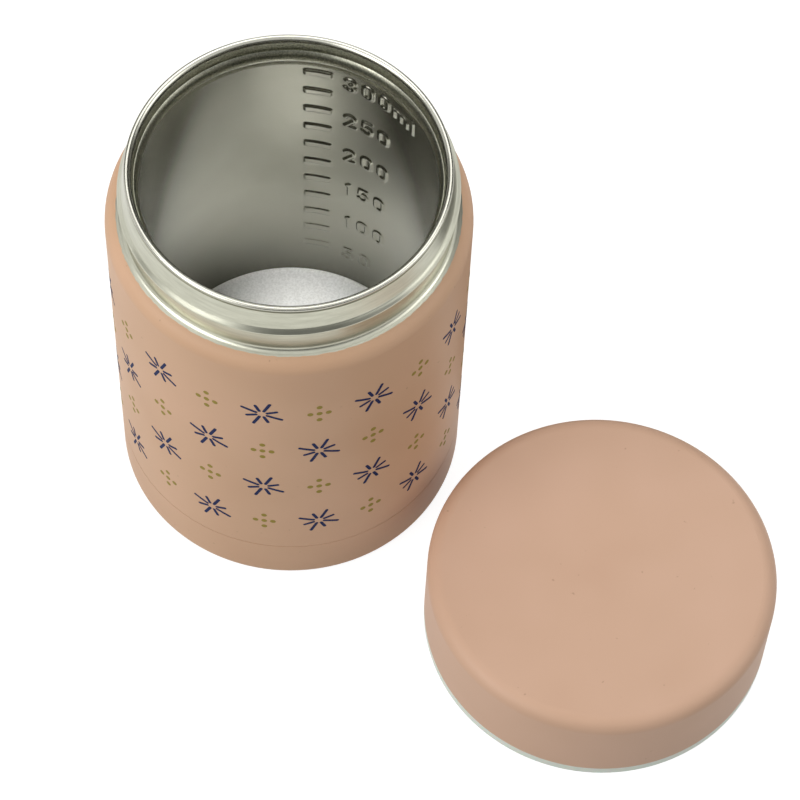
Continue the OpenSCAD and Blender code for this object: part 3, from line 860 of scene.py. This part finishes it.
world = bpy.data.worlds.new("studio")
world.use_nodes = True
bpy.context.scene.world = world
sky = world.node_tree
sky.nodes.clear()
sky_out = add(sky, "ShaderNodeOutputWorld")
plain_sky = add(sky, "ShaderNodeBackground", values={"Color": WHITE, "Strength": SKY_LIGHT})
white_sky = add(sky, "ShaderNodeBackground", values={"Color": WHITE, "Strength": 1.0})
sky.links.new(white_to_the_lens(sky, plain_sky.outputs[0], white_sky.outputs[0]),
              sky_out.inputs["Surface"])
print("floor and world ready")

# %% [markdown]
# ## Lamps
#
# Three soft lamps light the whole set: a large one from the front left, a weaker one from the right and
# one from above the back. A deep cavity gets hardly any of that, because its own lip shades it. A studio
# would aim lamps in narrow tubes, called snoots, into the mouth, and so it is done here: three of them
# light the wall and a fourth lights the floor.

# %% Lamps
SNOOT_REACH, SNOOT_SIZE = 1.2, 0.010  # metres from the point it is aimed at, and its lamp's radius


def hang(lamp, place, towards):
    """Puts a lamp into the scene, in its place and shining in a direction."""
    holder = bpy.data.objects.new(lamp.name, lamp)
    holder.location = place
    holder.rotation_euler = towards.to_track_quat("-Z", "Y").to_euler()
    bpy.context.scene.collection.objects.link(holder)


def soft_light(name, place, aim, size, watts):
    """A rectangular lamp of a width and height in metres, aimed at a point."""
    lamp = bpy.data.lights.new(name, "AREA")
    lamp.shape, lamp.energy = "RECTANGLE", watts
    lamp.size, lamp.size_y = size
    hang(lamp, place, Vector(aim) - Vector(place))


middle = (0.03, -0.01, 0.05)
soft_light("key_left", (-1.0, -0.65, 0.84), middle, (1.1, 1.0), 13)
soft_light("fill_right", (1.15, -0.05, 0.7), middle, (0.7, 0.7), 3.6)
soft_light("top_back", (0.0, 0.45, 1.35), middle, (1.0, 0.7), 6.0)


def snoot(name, turn, elevation, watts, cone=2.2, blend=0.2, aim=(0, 0, LIP_Z * MM)):
    """A lamp in a tube, aimed into the mouth, so that it lights the cavity alone."""
    lamp = bpy.data.lights.new(name, "SPOT")
    lamp.energy, lamp.shadow_soft_size = watts, SNOOT_SIZE
    lamp.spot_size, lamp.spot_blend = radians(cone), blend
    away = Vector((sin(turn) * cos(elevation), -cos(turn) * cos(elevation), sin(elevation)))
    hang(lamp, Vector(aim) + SNOOT_REACH * away, -away)


snoot("snoot_back", pi, radians(72), 72)
snoot("snoot_left", radians(-85), radians(70), 32)
snoot("snoot_back_right", radians(125), radians(70), 24)
snoot("snoot_floor", 0, radians(84), 39, cone=1.6, blend=0.4, aim=(0.002, 0.021, 0.012))

# %% [markdown]
# ## Dark flags
#
# Bare steel is made of what it reflects, and in a white room it has no shape. A studio stands black cards,
# called flags, round it. These are seen by glossy rays alone, so they throw no shadow and the camera
# doesn't see them. Five stand round the jar. One lies on the floor beside it as a painted shadow: in
# reflections it stands in for the jar's own shadow on the floor.

# %% Dark flags, seen only in reflections
FLAG_REACH = 1.4                      # metres from the jar's axis
FLAG_COLUMNS = 7


def flag(name, from_turn, to_turn, edges, shade):
    """A curved card round the jar, between two angles in degrees from the front and two edges, which
    are (reach, height) in metres."""
    material, tree, out = new_material(name)
    clear = add(tree, "ShaderNodeBsdfTransparent")
    dark = add(tree, "ShaderNodeEmission", values={"Color": colour(shade), "Strength": 1.0})
    path = add(tree, "ShaderNodeLightPath")
    shown = add(tree, "ShaderNodeMixShader",
                links={0: path.outputs["Is Glossy Ray"], 1: clear.outputs[0], 2: dark.outputs[0]})
    tree.links.new(shown.outputs[0], out.inputs["Surface"])
    turns = np.radians(np.linspace(from_turn, to_turn, FLAG_COLUMNS))
    points = [(reach * sin(a), -reach * cos(a), z) for a in turns for reach, z in edges]
    card = new_piece(name, points, [(k, k + 2, k + 3, k + 1) for k in range(0, 2 * (FLAG_COLUMNS - 1), 2)])
    dress(card, material)


def standing(low, high):
    """Edges of a card that stands at the flags' reach, between two elevations in degrees."""
    return [(FLAG_REACH, FLAG_REACH * np.tan(radians(a)) + LIP_Z * MM) for a in (low, high)]


flag("flag_front", -22, 38, standing(-3, 27), "#4a4a49")
flag("flag_front_right", 38, 66, standing(-3, 15), "#4a4a49")
flag("flag_left", -90, -64, standing(-3, 24), "#3a3834")
flag("flag_back_right", 112, 168, standing(4, 52), "#3c3b33")
flag("flag_back_left", -168, -118, standing(4, 38), "#4a4940")
# painted shadow: a dark card where the jar's shadow falls on the floor, seen in reflections only
flag("painted_shadow_flag", 100, 175, [(0.045, 0.001), (0.17, 0.001)], "#3c3b31")

# %% [markdown]
# ## The camera
#
# A long lens from above flattens the perspective, so the rims' ellipses stay close to each other in shape.
# The Standard view shows the colours as they are computed.

# %% The camera
SENSOR_MM, LENS_MM = 36.0, 150.99
CAMERA_PLACE = (0.026545, -0.402104, 0.725197)
CAMERA_TILT, CAMERA_ROLL = radians(29.525), radians(2.760)     # from straight down, and about its own axis
lens = bpy.data.cameras.new("camera")
lens.sensor_width, lens.lens = SENSOR_MM, LENS_MM
camera = bpy.data.objects.new("camera", lens)
camera.matrix_world = (Matrix.Translation(CAMERA_PLACE) @ Matrix.Rotation(CAMERA_TILT, 4, "X")
                       @ Matrix.Rotation(CAMERA_ROLL, 4, "Z"))
bpy.context.scene.collection.objects.link(camera)
bpy.context.scene.camera = camera
bpy.context.scene.view_settings.view_transform = "Standard"
print("camera at", [round(v, 3) for v in camera.location])
